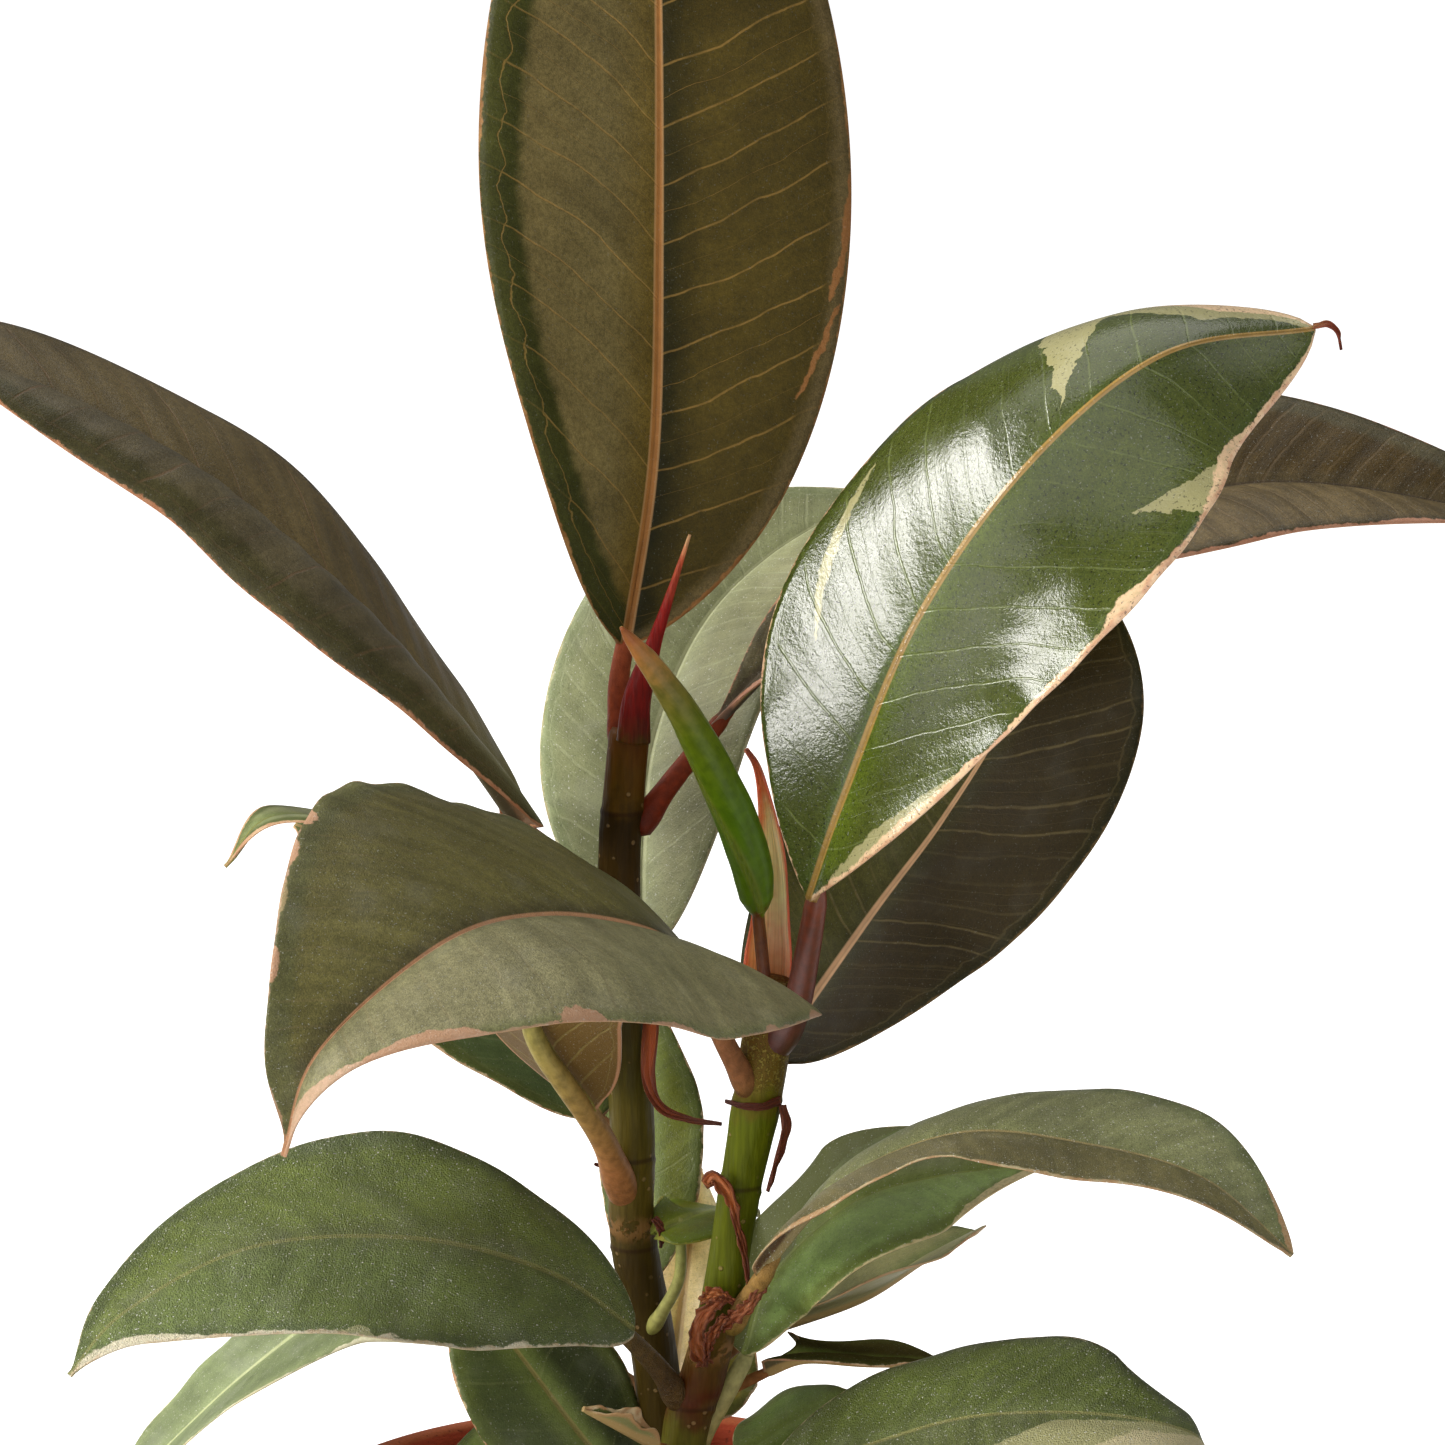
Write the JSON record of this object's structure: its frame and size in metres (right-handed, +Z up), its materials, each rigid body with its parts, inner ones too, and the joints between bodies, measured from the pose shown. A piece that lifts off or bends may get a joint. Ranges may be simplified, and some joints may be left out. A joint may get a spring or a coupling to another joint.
{
  "type": "potted tineke rubber plant",
  "caption": "Variegated rubber plant with two stems and broad pink-edged leaves, growing in soil in a plain tapered terracotta pot.",
  "frame": {"origin": "centre of the pot's flat underside", "axes": "+Z up along the pot's axis; -Y towards the side that the picture shows"},
  "size_m": [0.3083, 0.1817, 0.4231],
  "materials": {
    "terracotta": "unglazed fired clay, smooth, slightly satin",
    "soil": "dark potting compost of bark and peat, crumbly",
    "stem_skin": "green to red-brown young bark with pale pores and ring scars",
    "leaf_blade": "waxy leathery leaf, satin to glossy, cream and pink margins",
    "young_leaf": "fresh green rolled leaf, waxy",
    "stipule_fresh": "thin red and cream leaf sheath, satin",
    "stipule_dry": "dried brown papery leaf sheath"
  },
  "bodies": {
    "root": {"pot": "terracotta", "soil": "soil", "stem_left": "stem_skin", "stem_right": "stem_skin", "leaf_top": "leaf_blade", "leaf_left_high": "leaf_blade", "leaf_front": "leaf_blade", "leaf_left_mid": "leaf_blade", "leaf_left_back": "leaf_blade", "leaf_low_left": "leaf_blade", "leaf_low_left_back": "leaf_blade", "leaf_low_centre": "leaf_blade", "leaf_shoot": "young_leaf", "leaf_base_left": "leaf_blade", "leaf_right_high": "leaf_blade", "leaf_right_back": "leaf_blade", "leaf_right_far": "leaf_blade", "leaf_back": "leaf_blade", "leaf_between": "leaf_blade", "leaf_cream": "leaf_blade", "leaf_small_green": "leaf_blade", "leaf_right_arch": "leaf_blade", "leaf_right_mid": "leaf_blade", "leaf_right_low_back": "leaf_blade", "leaf_right_edge": "leaf_blade", "leaf_low_right": "leaf_blade", "leaf_low_right_small": "leaf_blade", "leaf_pale_small": "leaf_blade", "stipule_red": "stipule_fresh", "leaf_rolled": "young_leaf", "stipule_open": "stipule_fresh", "stipule_dry_loop": "stipule_dry", "stipule_dry_right": "stipule_dry", "stipule_dry_low": "stipule_dry"}
  },
  "joints": []
}
